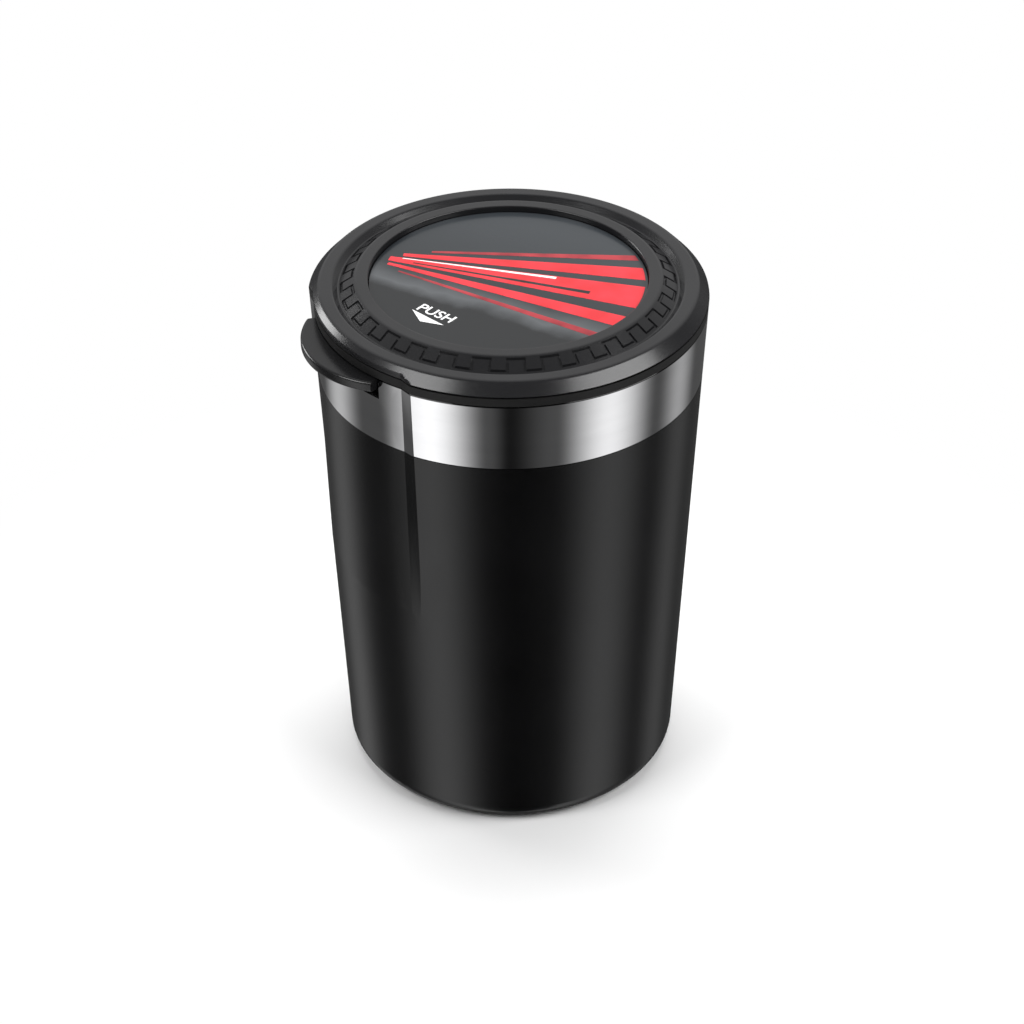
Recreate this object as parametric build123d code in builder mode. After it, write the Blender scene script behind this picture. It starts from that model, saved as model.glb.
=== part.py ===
from build123d import *
import math
import os

os.makedirs("parts", exist_ok=True)

# Car ashtray for a cup holder: millimetres, Z up, floor at Z 0, axis of the cup on Z.
# The push tab points to -Y and the lid is hinged at +Y.

# Clearances
running_gap = 0.3  # between pieces that move past one another
fit_gap = 0.1  # between fixed pieces pushed together
pivot_gap = 0.05  # radial play of a bore on its pin
cut_over = 1.0  # how far a cutter runs past the face it opens

# Outer form
taper_base_radius = 34.8  # radius of the tapered side carried down to the floor
rim_radius = 40.0  # lower edge of the lid
rim_height = 109.1

# Outer cup and its pad
cup_wall = 2.2
cup_floor = 2.4
cup_foot_radius = 3.5
cup_inner_radius = 3.0
neck_step = 2.5  # from the tapered side in to the neck
neck_wall = 1.8
neck_height = 6.6
pad_inset = 5.8  # from the tapered side in to the pad
pad_thickness = 1.4
pad_stand_off = 0.4

# Finger recess at the front, running out half-way down the cup
recess_length = 56.4  # below the rim
recess_depth = 1.14  # at the rim
recess_half_angle = 28.6
recess_ramp_angle = 4.1
recess_lip = 0.03  # how far the ramp runs out past the taper

# Trim band
band_height = 14.75
band_thickness = 0.8
band_edge = 0.2

# Collar
collar_strip = 2.05  # from the band up to the rim
mouth_inset = 7.0  # from the rim in to the mouth
mouth_chamfer = 0.5
ledge_width = 1.6
ledge_drop = 3.45  # below the top of the band
ledge_thickness = 1.8
collar_bore_step = 0.6  # from the mouth out to the bore below the ledge
collar_skirt_lift = 0.3

# Ash liner and snuffer insert
liner_wall = 0.8
liner_base_inset = 5.2  # from the tapered side in to the liner, at the floor
liner_lift = 1.2  # above the floor of the cup
liner_corner_radius = 4.0
rest_flange = 0.7
dish_gap = 0.5  # between the dish and the liner
dish_wall = 0.9
dish_depth = 6.3
ash_opening_margin = 4.3
ash_opening_edge = -4.5  # straight side of the half-moon, in Y
tube_count = 3
tube_margin = 6.6  # between the dish wall and a tube
tube_bore = 4.4
tube_wall = 0.9
tube_length = 14.0

# Push tab and latch
notch_half_angle = 20.3
notch_height = 4.65  # below the top of the band
notch_depth = 3.1  # from the rim in to the back wall of the notch
tab_drop = 0.25  # below the top of the band
tab_thickness = 2.2
tab_overhang = 4.07  # past the rim
tab_arc_radius = 19.16
tab_edge_radius = 0.6
latch_inset = 1.7  # from the back wall of the notch in to the pin
latch_lift = 1.2  # from the floor of the notch up to the pin
latch_pin_radius = 0.6
latch_pin_half_length = 7.0
latch_boss_radius = 1.2
latch_boss_half_width = 4.7
lever_set = 0.3  # from the pin out to the inner face of the lever
nose_undercut = 0.6
nose_height = 0.9
leaf_thickness = 0.25
leaf_half_width = 2.2
leaf_foot_length = 0.9
leaf_tip_reach = 0.7  # past the foot

# Lid
bevel_width = 2.25
bevel_height = 2.35
rim_flat_width = 2.55
channel_width = 1.3
channel_depth = 1.15  # below the rim flat
tread_width = 3.5
ring_rise = 1.15  # above the rim flat
ring_width = 2.5
print_gap = 0.2
print_drop = 1.3  # below the ring
print_thickness = 1.5
groove_width = 0.5
groove_depth = 0.4
groove_strokes = 60
groove_margin = 0.7  # from the edges of the tread

# Catch under the lid
catch_thickness = 0.9
catch_length = 4.0
catch_barb_reach = 0.25
catch_barb_height = 0.7
catch_half_width = 2.3

# Inner cover of the lid
cover_gap = 0.8  # between the cover and the mouth
cover_plate = 1.5
cover_skirt_wall = 1.4
cover_depth = 3.5
gasket_groove = 0.7
gasket_lift = 0.6
gasket_height = 1.2
screw_count = 4
screw_shank_radius = 0.7
screw_head_radius = 1.4
screw_head_height = 1.2
screw_length = 3.6

# Hinge at the rear
hinge_inset = 2.6  # from the rim in to the pin
hinge_drop = 0.4  # from the rim down to the pin
hinge_pin_radius = 0.75
ear_width = 3.0
ear_radius = 1.2
ear_web_set = 0.2  # from the pin in to the web of an ear
ear_web_reach = 3.2  # from the pin in and down to the end of the web
knuckle_width = 2.8
knuckle_radius = 1.3
spring_half_length = 3.4
spring_radius = 1.0
spring_wire = 0.36
spring_turns = 4
spring_side_gap = 0.8  # between the spring and a knuckle
lid_leg_reach = 2.2  # end of the spring's upper leg, from the pin
lid_leg_rise = 0.1
collar_leg_reach = 1.4  # end of the spring's lower leg, from the pin
collar_leg_fall = 2.25
spring_slot_reach = 2.5
spring_slot_height = 1.1


def taper_radius(z):
    """Outer radius of the tapered side at height z."""
    return taper_base_radius + (rim_radius - taper_base_radius) * z / rim_height


# Heights that follow from the sizes above
flange_top = rim_height - running_gap
band_top = rim_height - collar_strip
band_bottom = band_top - band_height
recess_start = rim_height - recess_length
neck_top = band_bottom + neck_height
cup_floor_top = pad_thickness + cup_floor
liner_base = cup_floor_top + liner_lift
ledge_top = band_top - ledge_drop
insert_seat = ledge_top + rest_flange
notch_bottom = band_top - notch_height
tab_top = band_top - tab_drop
tab_bottom = tab_top - tab_thickness
nose_bottom = tab_top - nose_height
latch_z = notch_bottom + latch_lift
hinge_z = rim_height - hinge_drop
rim_flat_height = rim_height + bevel_height
tread_low = rim_flat_height - channel_depth
ring_height = rim_flat_height + ring_rise
print_top = ring_height - print_drop
print_seat = print_top - print_thickness
catch_bottom = rim_height - catch_length
cover_top = rim_height
cover_bottom = cover_top - cover_depth
gasket_bottom = cover_bottom + gasket_lift
spring_slot_top = rim_height + spring_slot_height

# Radii, measured from the axis of the cup
pad_radius = taper_base_radius - pad_inset
neck_radius = taper_radius(band_bottom) - neck_step
mouth_radius = rim_radius - mouth_inset
ledge_radius = mouth_radius - ledge_width
collar_bore = mouth_radius + collar_bore_step
liner_base_radius = taper_base_radius - liner_base_inset
liner_top_radius = ledge_radius - running_gap
rest_flange_radius = mouth_radius - running_gap
dish_radius = liner_top_radius - liner_wall - dish_gap
ash_opening_radius = dish_radius - ash_opening_margin
tube_circle_radius = dish_radius - dish_wall - tube_margin - tube_wall - tube_bore
notch_radius = rim_radius - notch_depth
tab_reach = rim_radius + tab_overhang
far_radius = tab_reach + cut_over
rim_flat_outer = rim_radius - bevel_width
rim_flat_inner = rim_flat_outer - rim_flat_width
tread_outer = rim_flat_inner - channel_width
tread_inner = tread_outer - tread_width
groove_outer = tread_outer - groove_margin
groove_inner = tread_inner + groove_margin
ring_inner = tread_inner - ring_width
print_radius = ring_inner - print_gap
cover_radius = mouth_radius - cover_gap
gasket_inner = cover_radius - gasket_groove
gasket_outer = mouth_radius - running_gap
screw_circle_radius = ring_inner + ring_width / 2

# Places along Y and X
latch_y = latch_inset - notch_radius
lever_face = latch_y - lever_set
slot_inner_face = latch_y + latch_boss_radius + running_gap
slot_half_width = latch_boss_half_width + running_gap
leaf_foot_inner = -notch_radius - fit_gap
leaf_foot_outer = leaf_foot_inner - leaf_foot_length
leaf_tip = leaf_foot_outer - leaf_tip_reach
catch_inner = slot_inner_face - running_gap
catch_outer = catch_inner - catch_thickness
catch_barb = catch_outer - catch_barb_reach
hinge_y = rim_radius - hinge_inset
hinge_relief = ear_radius + running_gap
trough_radius = math.hypot(hinge_inset, hinge_drop) + running_gap
trough_half_length = math.sqrt(rim_radius**2 - hinge_y**2) + running_gap
knuckle_inner = spring_half_length + spring_side_gap
knuckle_outer = knuckle_inner + knuckle_width
ear_inner = knuckle_outer + running_gap
ear_outer = ear_inner + ear_width
spring_lid_point = (hinge_y - lid_leg_reach, hinge_z + lid_leg_rise)
spring_collar_point = (hinge_y - collar_leg_reach, hinge_z - collar_leg_fall)


def recess_depth_at(z):
    """Depth of the finger recess below the taper at height z."""
    return recess_depth * (z - recess_start) / (rim_height - recess_start)


def front_point(radius, angle):
    """Plan point at an angle in degrees from the front."""
    turn = math.radians(angle)
    return (radius * math.sin(turn), -radius * math.cos(turn))


def turned(points, mode=Mode.ADD):
    """Turn a profile of radius and height points about the cup axis."""
    with BuildSketch(Plane.XZ) as profile:
        with BuildLine():
            Polyline(*points, close=True)
        make_face()
    revolve(profile.sketch, axis=Axis.Z, mode=mode)


def cross_bar(points, middle, half_width, mode=Mode.ADD):
    """Extrude an outline of Y and Z points along X, both ways from middle."""
    with BuildSketch(Plane.YZ.offset(middle)) as outline:
        with BuildLine():
            Polyline(*points, close=True)
        make_face()
    extrude(outline.sketch, amount=half_width, both=True, mode=mode)


def cross_pin(y, z, radius, middle, half_width, mode=Mode.ADD):
    """Round bar along X, centred at middle."""
    with BuildSketch(Plane.YZ.offset(middle)) as section:
        with Locations((y, z)):
            Circle(radius)
    extrude(section.sketch, amount=half_width, both=True, mode=mode)


def box_points(y0, y1, z0, z1):
    """Corners of an upright rectangle in Y and Z."""
    return [(y0, z0), (y1, z0), (y1, z1), (y0, z1)]


def recess_outline(z, inset):
    """Draw what the finger recess takes away at height z, for a skin set in by inset."""
    floor = taper_radius(z) - recess_depth_at(z) - inset
    edge = taper_radius(z) + recess_lip - inset
    inner = recess_half_angle
    outer = recess_half_angle + recess_ramp_angle
    with BuildLine() as outline:
        ThreePointArc(front_point(floor, -inner), front_point(floor, 0), front_point(floor, inner))
        Polyline(front_point(floor, inner), front_point(edge, outer), front_point(far_radius, outer))
        ThreePointArc(
            front_point(far_radius, outer), front_point(far_radius, 0), front_point(far_radius, -outer)
        )
        Polyline(front_point(far_radius, -outer), front_point(edge, -outer), front_point(floor, -inner))
    make_face(outline.edges())


def recess_cutter(inset):
    """Solid that cuts the finger recess into a skin set in from the taper by inset."""
    with BuildPart() as cutter:
        with BuildSketch(Plane.XY.offset(recess_start - cut_over)) as low:
            recess_outline(recess_start - cut_over, inset)
        with BuildSketch(Plane.XY.offset(ring_height + cut_over)) as high:
            recess_outline(ring_height + cut_over, inset)
        loft([low.sketch, high.sketch], ruled=True)
    return cutter.part


def front_sector(inner, outer, half_angle, bottom, top):
    """Block between two radii and two angles at the front."""
    with BuildPart() as block:
        with BuildSketch(Plane.XY.offset(bottom)):
            with BuildLine():
                ThreePointArc(
                    front_point(inner, -half_angle), front_point(inner, 0), front_point(inner, half_angle)
                )
                Line(front_point(inner, half_angle), front_point(outer, half_angle))
                ThreePointArc(
                    front_point(outer, half_angle), front_point(outer, 0), front_point(outer, -half_angle)
                )
                Line(front_point(outer, -half_angle), front_point(inner, -half_angle))
            make_face()
        extrude(amount=top - bottom)
    return block.part


skin_recess = recess_cutter(0.0)
tab_notch = front_sector(notch_radius, far_radius, notch_half_angle, notch_bottom, band_top)

# Room for the rear lip of the lid, which swings down round the hinge as the lid opens
with BuildPart() as rear_trough:
    cross_pin(hinge_y, hinge_z, trough_radius, 0.0, trough_half_length)
    cross_bar(
        box_points(hinge_y, far_radius, hinge_z - trough_radius, rim_height + cut_over),
        0.0,
        trough_half_length,
    )

# Outer cup: tapered shell with a neck that carries the band and the collar
with BuildPart() as outer_cup:
    turned(
        [
            (0.0, pad_thickness),
            (pad_radius + fit_gap, pad_thickness),
            (pad_radius + fit_gap, pad_stand_off),
            (taper_radius(pad_stand_off), pad_stand_off),
            (taper_radius(band_bottom), band_bottom),
            (neck_radius, band_bottom),
            (neck_radius, neck_top),
            (neck_radius - neck_wall, neck_top),
            (neck_radius - neck_wall, band_bottom - cup_wall),
            (taper_radius(band_bottom - 2 * cup_wall) - cup_wall, band_bottom - 2 * cup_wall),
            (taper_radius(cup_floor_top) - cup_wall, cup_floor_top),
            (0.0, cup_floor_top),
        ]
    )
    foot_edges = outer_cup.edges().filter_by(GeomType.CIRCLE)
    outer_foot = foot_edges.filter_by(
        lambda e: abs(e.center().Z - pad_stand_off) < fit_gap and e.radius > pad_radius + cup_wall
    )
    fillet(outer_foot, radius=cup_foot_radius)
    inner_foot = outer_cup.edges().filter_by(GeomType.CIRCLE).filter_by(
        lambda e: abs(e.center().Z - cup_floor_top) < fit_gap
    )
    fillet(inner_foot, radius=cup_inner_radius)
    add(skin_recess, mode=Mode.SUBTRACT)
outer_cup.part.label = "outer_cup"
export_step(outer_cup.part, "parts/outer_cup.step")

# Anti-slip pad in the underside of the cup
with BuildPart() as base_pad:
    with BuildSketch(Plane.XY):
        Circle(pad_radius)
    extrude(amount=pad_thickness)
base_pad.part.label = "base_pad"
export_step(base_pad.part, "parts/base_pad.step")

# Trim band: thin skin that follows the recess, notched for the tab and relieved under the lid's rear lip
with BuildPart() as band_core:
    turned(
        [
            (0.0, band_bottom - cut_over),
            (taper_radius(band_bottom - cut_over) - band_thickness, band_bottom - cut_over),
            (taper_radius(band_top + cut_over) - band_thickness, band_top + cut_over),
            (0.0, band_top + cut_over),
        ]
    )
    add(recess_cutter(band_thickness), mode=Mode.SUBTRACT)

with BuildPart() as trim_band:
    turned(
        [
            (0.0, band_bottom),
            (taper_radius(band_bottom) - band_edge, band_bottom),
            (taper_radius(band_bottom + band_edge), band_bottom + band_edge),
            (taper_radius(band_top - band_edge), band_top - band_edge),
            (taper_radius(band_top) - band_edge, band_top),
            (0.0, band_top),
        ]
    )
    add(skin_recess, mode=Mode.SUBTRACT)
    add(band_core.part, mode=Mode.SUBTRACT)
    add(tab_notch, mode=Mode.SUBTRACT)
    add(rear_trough.part, mode=Mode.SUBTRACT)
trim_band.part.label = "trim_band"
export_step(trim_band.part, "parts/trim_band.step")

# Collar: flange under the lid, ring inside the band, ledge for the liner, pocket for the latch, hinge ears
with BuildPart() as collar_flange:
    turned(
        [
            (mouth_radius, band_top),
            (taper_radius(band_top), band_top),
            (taper_radius(flange_top), flange_top),
            (mouth_radius + mouth_chamfer, flange_top),
            (mouth_radius, flange_top - mouth_chamfer),
        ]
    )
    add(skin_recess, mode=Mode.SUBTRACT)

with BuildPart() as collar:
    skirt_inset = band_thickness + fit_gap
    skirt_bottom = band_bottom + collar_skirt_lift
    turned(
        [
            (mouth_radius, band_top),
            (taper_radius(band_top) - skirt_inset, band_top),
            (taper_radius(skirt_bottom) - skirt_inset, skirt_bottom),
            (neck_radius + fit_gap, skirt_bottom),
            (neck_radius + fit_gap, neck_top + fit_gap),
            (collar_bore, neck_top + fit_gap),
            (collar_bore, ledge_top - ledge_thickness),
            (ledge_radius, ledge_top - ledge_thickness),
            (ledge_radius, ledge_top),
            (mouth_radius, ledge_top),
        ]
    )
    add(recess_cutter(skirt_inset), mode=Mode.SUBTRACT)
    add(collar_flange.part)
    add(tab_notch, mode=Mode.SUBTRACT)
    slot_bottom = latch_z - latch_boss_radius - running_gap
    cross_bar(
        box_points(-notch_radius - cut_over, slot_inner_face, slot_bottom, band_top),
        0.0,
        slot_half_width,
        Mode.SUBTRACT,
    )
    cross_bar(
        box_points(lever_face, slot_inner_face, band_top - cut_over, flange_top + cut_over),
        0.0,
        catch_half_width + running_gap,
        Mode.SUBTRACT,
    )
    cross_pin(latch_y, latch_z, latch_pin_radius + pivot_gap, 0.0, latch_pin_half_length, Mode.SUBTRACT)
    add(rear_trough.part, mode=Mode.SUBTRACT)
    ear_web = box_points(
        hinge_y - ear_web_reach, hinge_y - ear_web_set, hinge_z - ear_web_reach, hinge_z
    )
    for side in (-1, 1):
        ear_middle = side * (ear_inner + ear_outer) / 2
        cross_pin(hinge_y, hinge_z, ear_radius, ear_middle, ear_width / 2)
        cross_bar(ear_web, ear_middle, ear_width / 2)
    cross_pin(hinge_y, hinge_z, hinge_pin_radius + pivot_gap, 0.0, ear_outer + cut_over, Mode.SUBTRACT)
collar.part.label = "collar"
export_step(collar.part, "parts/collar.step")

# Ash liner: drawn metal cup that hangs by its flange from the ledge of the collar
with BuildPart() as ash_liner:
    turned(
        [
            (0.0, liner_base),
            (liner_base_radius, liner_base),
            (liner_top_radius, ledge_top),
            (rest_flange_radius, ledge_top),
            (rest_flange_radius, insert_seat),
            (liner_top_radius - liner_wall, insert_seat),
            (liner_base_radius - liner_wall, liner_base + liner_wall),
            (0.0, liner_base + liner_wall),
        ]
    )
    inner_corner = ash_liner.edges().filter_by(GeomType.CIRCLE).filter_by(
        lambda e: abs(e.center().Z - liner_base - liner_wall) < fit_gap
    )
    fillet(inner_corner, radius=liner_corner_radius - liner_wall)
    outer_corner = ash_liner.edges().filter_by(GeomType.CIRCLE).filter_by(
        lambda e: abs(e.center().Z - liner_base) < fit_gap
    )
    fillet(outer_corner, radius=liner_corner_radius)
ash_liner.part.label = "ash_liner"
export_step(ash_liner.part, "parts/ash_liner.step")

# Snuffer insert: dish on the liner's flange, half-moon ash opening at the front, three tubes at the rear
with BuildPart() as snuffer_insert:
    dish_floor = insert_seat + rest_flange - dish_depth
    turned(
        [
            (0.0, dish_floor - dish_wall),
            (dish_radius, dish_floor - dish_wall),
            (dish_radius, insert_seat),
            (rest_flange_radius, insert_seat),
            (rest_flange_radius, insert_seat + rest_flange),
            (dish_radius - dish_wall, insert_seat + rest_flange),
            (dish_radius - dish_wall, dish_floor),
            (0.0, dish_floor),
        ]
    )
    with BuildSketch(Plane.XY.offset(dish_floor - dish_wall - cut_over)):
        Circle(ash_opening_radius)
        with Locations((0, ash_opening_edge)):
            Rectangle(
                2 * dish_radius, dish_radius, align=(Align.CENTER, Align.MAX), mode=Mode.INTERSECT
            )
    extrude(amount=dish_wall + 2 * cut_over, mode=Mode.SUBTRACT)
    tube_step = 180 / tube_count
    tube_places = [
        (
            tube_circle_radius * math.cos(math.radians(tube_step * (number + 0.5))),
            tube_circle_radius * math.sin(math.radians(tube_step * (number + 0.5))),
        )
        for number in range(tube_count)
    ]
    with BuildSketch(Plane.XY.offset(dish_floor)):
        with Locations(tube_places):
            Circle(tube_bore + tube_wall)
    extrude(amount=-tube_length)
    with BuildSketch(Plane.XY.offset(dish_floor)):
        with Locations(tube_places):
            Circle(tube_bore)
    extrude(amount=-tube_length, mode=Mode.SUBTRACT)
snuffer_insert.part.label = "snuffer_insert"
export_step(snuffer_insert.part, "parts/snuffer_insert.step")

# Hinge pin through the collar's ears and the lid's knuckles
with BuildPart() as hinge_pin:
    cross_pin(hinge_y, hinge_z, hinge_pin_radius, 0.0, ear_outer)
hinge_pin.part.label = "hinge_pin"
export_step(hinge_pin.part, "parts/hinge_pin.step")

# Latch pin in the walls of the collar's pocket
with BuildPart() as latch_pin:
    cross_pin(latch_y, latch_z, latch_pin_radius, 0.0, latch_pin_half_length - pivot_gap)
latch_pin.part.label = "latch_pin"
export_step(latch_pin.part, "parts/latch_pin.step")


def leg_angle(point, side):
    """Angle round the hinge at which a leg through the point leaves the coil, and the leg's length."""
    away_y = point[0] - hinge_y
    away_z = point[1] - hinge_z
    distance = math.hypot(away_y, away_z)
    spread = math.acos(spring_radius / distance)
    return math.atan2(away_z, away_y) + side * spread, math.sqrt(distance**2 - spring_radius**2)


# Torsion spring of square wire round the hinge pin, one leg under the lid and one on the collar
collar_turn, collar_leg = leg_angle(spring_collar_point, 1)
lid_turn, lid_leg = leg_angle(spring_lid_point, -1)
spring_sweep = (lid_turn - collar_turn) % (2 * math.pi) / (2 * math.pi) + spring_turns
spring_pitch = 2 * spring_half_length / spring_sweep
coil_plane = Plane(
    origin=(-spring_half_length, hinge_y, hinge_z),
    x_dir=(0, math.cos(collar_turn), math.sin(collar_turn)),
    z_dir=(1, 0, 0),
)
coil = coil_plane.location * Helix(pitch=spring_pitch, height=2 * spring_half_length, radius=spring_radius)

with BuildPart() as lid_spring:
    with BuildLine() as wire_path:
        Line(coil @ 0 - (coil % 0) * collar_leg, coil @ 0)
        add(coil)
        Line(coil @ 1, coil @ 1 + (coil % 1) * lid_leg)
    wire_run = wire_path.wires()[0]
    with BuildSketch(Plane(origin=wire_run @ 0, z_dir=wire_run % 0)):
        Rectangle(spring_wire, spring_wire)
    sweep(path=wire_run, is_frenet=True)
lid_spring.part.label = "lid_spring"
export_step(lid_spring.part, "parts/lid_spring.step")

# Leaf spring bent from strip, its foot on the notch floor and its tip under the tab
with BuildPart() as latch_spring:
    with BuildSketch(Plane.YZ):
        with BuildLine() as strip:
            Polyline(
                (leaf_foot_outer, notch_bottom + leaf_thickness / 2),
                (leaf_foot_inner, notch_bottom + leaf_thickness / 2),
                (leaf_tip, tab_bottom - leaf_thickness),
            )
            offset(amount=leaf_thickness / 2, side=Side.BOTH)
        make_face()
    extrude(amount=leaf_half_width, both=True)
latch_spring.part.label = "latch_spring"
export_step(latch_spring.part, "parts/latch_spring.step")

# Push tab: crescent plate with a lever that turns on the latch pin
with BuildPart() as push_tab:
    plate_inner = notch_radius + running_gap
    plate_angle = notch_half_angle - math.degrees(running_gap / plate_inner)
    with BuildSketch(Plane.XY.offset(tab_bottom)):
        with Locations((0, -tab_reach + tab_arc_radius)):
            Circle(tab_arc_radius)
    extrude(amount=tab_thickness)
    add(
        front_sector(plate_inner, far_radius, plate_angle, tab_bottom - cut_over, tab_top + cut_over),
        mode=Mode.INTERSECT,
    )
    rim_edges = push_tab.edges().filter_by(GeomType.CIRCLE).filter_by(
        lambda e: abs(e.radius - tab_arc_radius) < fit_gap
    )
    fillet(rim_edges, radius=tab_edge_radius)
    cross_bar(
        box_points(-plate_inner - cut_over, lever_face, tab_bottom, tab_top), 0.0, latch_boss_half_width
    )
    cross_pin(latch_y, latch_z, latch_boss_radius, 0.0, latch_boss_half_width)
    cross_bar(
        [
            (latch_y - latch_boss_radius, latch_z),
            (latch_y - latch_boss_radius, tab_bottom + cut_over),
            (lever_face, tab_bottom + cut_over),
            (lever_face, latch_z),
        ],
        0.0,
        latch_boss_half_width,
    )
    nose_groove_bottom = latch_z + latch_boss_radius + fit_gap
    cross_bar(
        box_points(lever_face - nose_undercut, lever_face + cut_over, nose_groove_bottom, nose_bottom),
        0.0,
        catch_half_width + running_gap,
        Mode.SUBTRACT,
    )
    cross_pin(
        latch_y, latch_z, latch_pin_radius + pivot_gap, 0.0, latch_boss_half_width + cut_over, Mode.SUBTRACT
    )
push_tab.part.label = "push_tab"
export_step(push_tab.part, "parts/push_tab.step")

# Square-wave groove of the tread: radial strokes joined in turn at their outer and inner ends
stroke_step = 360 / groove_strokes
dash_fall = math.cos(math.radians(stroke_step / 2))
with BuildPart() as tread_groove:
    with BuildSketch(Plane.XY.offset(tread_low - cut_over)):
        with PolarLocations((groove_outer + groove_inner) / 2, groove_strokes):
            Rectangle(groove_outer - groove_inner + groove_width, groove_width)
        with PolarLocations(groove_outer * dash_fall, groove_strokes // 2, start_angle=stroke_step / 2):
            Rectangle(groove_width, 2 * groove_outer * math.sin(math.radians(stroke_step / 2)))
        with PolarLocations(groove_inner * dash_fall, groove_strokes // 2, start_angle=1.5 * stroke_step):
            Rectangle(groove_width, 2 * groove_inner * math.sin(math.radians(stroke_step / 2)))
    extrude(amount=ring_height - tread_low + 2 * cut_over)
    turned(
        [
            (tread_outer, tread_low - groove_depth),
            (tread_outer, tread_low + cut_over),
            (tread_inner, ring_height + cut_over),
            (tread_inner, ring_height - groove_depth),
        ],
        Mode.INTERSECT,
    )

# Lid shell: bevelled rim, channel, tread, raised ring round the print, knuckles for the hinge
with BuildPart() as lid_shell:
    turned(
        [
            (0.0, rim_height),
            (rim_radius, rim_height),
            (rim_flat_outer, rim_flat_height),
            (rim_flat_inner, rim_flat_height),
            (tread_outer, tread_low),
            (tread_inner, ring_height),
            (ring_inner, ring_height),
            (ring_inner, print_seat),
            (0.0, print_seat),
        ]
    )
    add(skin_recess, mode=Mode.SUBTRACT)
    add(tread_groove.part, mode=Mode.SUBTRACT)
    cross_pin(hinge_y, hinge_z, hinge_relief, 0.0, ear_outer + running_gap, Mode.SUBTRACT)
    knuckle_web = box_points(
        hinge_y - knuckle_radius, hinge_y + knuckle_radius, hinge_z, hinge_z + knuckle_radius
    )
    for side in (-1, 1):
        knuckle_middle = side * (knuckle_inner + knuckle_outer) / 2
        cross_pin(hinge_y, hinge_z, knuckle_radius, knuckle_middle, knuckle_width / 2)
        cross_bar(knuckle_web, knuckle_middle, knuckle_width / 2)
    cross_bar(
        box_points(hinge_y - spring_slot_reach, hinge_y, rim_height - cut_over, spring_slot_top),
        0.0,
        knuckle_inner,
        Mode.SUBTRACT,
    )
    cross_pin(hinge_y, hinge_z, hinge_pin_radius + pivot_gap, 0.0, knuckle_outer + cut_over, Mode.SUBTRACT)
    with BuildSketch(Plane.XY.offset(rim_height)):
        with PolarLocations(screw_circle_radius, screw_count, start_angle=180 / screw_count):
            Circle(screw_shank_radius + pivot_gap)
    extrude(amount=screw_length - cover_plate + running_gap, mode=Mode.SUBTRACT)
lid_shell.part.label = "lid_shell"
export_step(lid_shell.part, "parts/lid_shell.step")

# Catch hook under the front of the lid
with BuildPart() as lid_catch:
    cross_bar(
        [
            (catch_inner, rim_height),
            (catch_outer, rim_height),
            (catch_outer, catch_bottom + catch_barb_height),
            (catch_barb, catch_bottom + catch_barb_height),
            (catch_barb, catch_bottom + catch_barb_height / 2),
            (catch_outer, catch_bottom),
            (catch_inner, catch_bottom),
        ],
        0.0,
        catch_half_width,
    )
lid_catch.part.label = "lid_catch"
export_step(lid_catch.part, "parts/lid_catch.step")

# Printed disc set into the raised ring
with BuildPart() as print_disc:
    with BuildSketch(Plane.XY.offset(print_seat)):
        Circle(print_radius)
    extrude(amount=print_top - print_seat)
print_disc.part.label = "print_disc"
export_step(print_disc.part, "parts/print_disc.step")

# Inner cover of the lid, with a skirt that enters the mouth and a groove for the gasket
with BuildPart() as inner_cover:
    plate_bottom = cover_top - cover_plate
    turned(
        [
            (0.0, plate_bottom),
            (cover_radius - cover_skirt_wall, plate_bottom),
            (cover_radius - cover_skirt_wall, cover_bottom),
            (cover_radius, cover_bottom),
            (cover_radius, gasket_bottom),
            (gasket_inner, gasket_bottom),
            (gasket_inner, gasket_bottom + gasket_height),
            (cover_radius, gasket_bottom + gasket_height),
            (cover_radius, cover_top),
            (0.0, cover_top),
        ]
    )
    with BuildSketch(Plane.XY.offset(plate_bottom)):
        with PolarLocations(screw_circle_radius, screw_count, start_angle=180 / screw_count):
            Circle(screw_shank_radius + pivot_gap)
    extrude(amount=cover_plate, mode=Mode.SUBTRACT)
inner_cover.part.label = "inner_cover"
export_step(inner_cover.part, "parts/inner_cover.step")

# Gasket round the skirt of the inner cover
with BuildPart() as lid_gasket:
    turned(
        [
            (gasket_inner, gasket_bottom),
            (gasket_outer, gasket_bottom),
            (gasket_outer, gasket_bottom + gasket_height),
            (gasket_inner, gasket_bottom + gasket_height),
        ]
    )
lid_gasket.part.label = "lid_gasket"
export_step(lid_gasket.part, "parts/lid_gasket.step")

# Screws that hold the inner cover
with BuildPart() as cover_screws:
    head_top = cover_top - cover_plate
    with BuildSketch(Plane.XY.offset(head_top)):
        with PolarLocations(screw_circle_radius, screw_count, start_angle=180 / screw_count):
            Circle(screw_head_radius)
    extrude(amount=-screw_head_height)
    with BuildSketch(Plane.XY.offset(head_top)):
        with PolarLocations(screw_circle_radius, screw_count, start_angle=180 / screw_count):
            Circle(screw_shank_radius)
    extrude(amount=screw_length)
cover_screws.part.label = "cover_screws"
export_step(cover_screws.part, "parts/cover_screws.step")
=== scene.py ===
import math

import bmesh
import bpy
import numpy as np
from mathutils import Matrix, Vector


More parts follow.
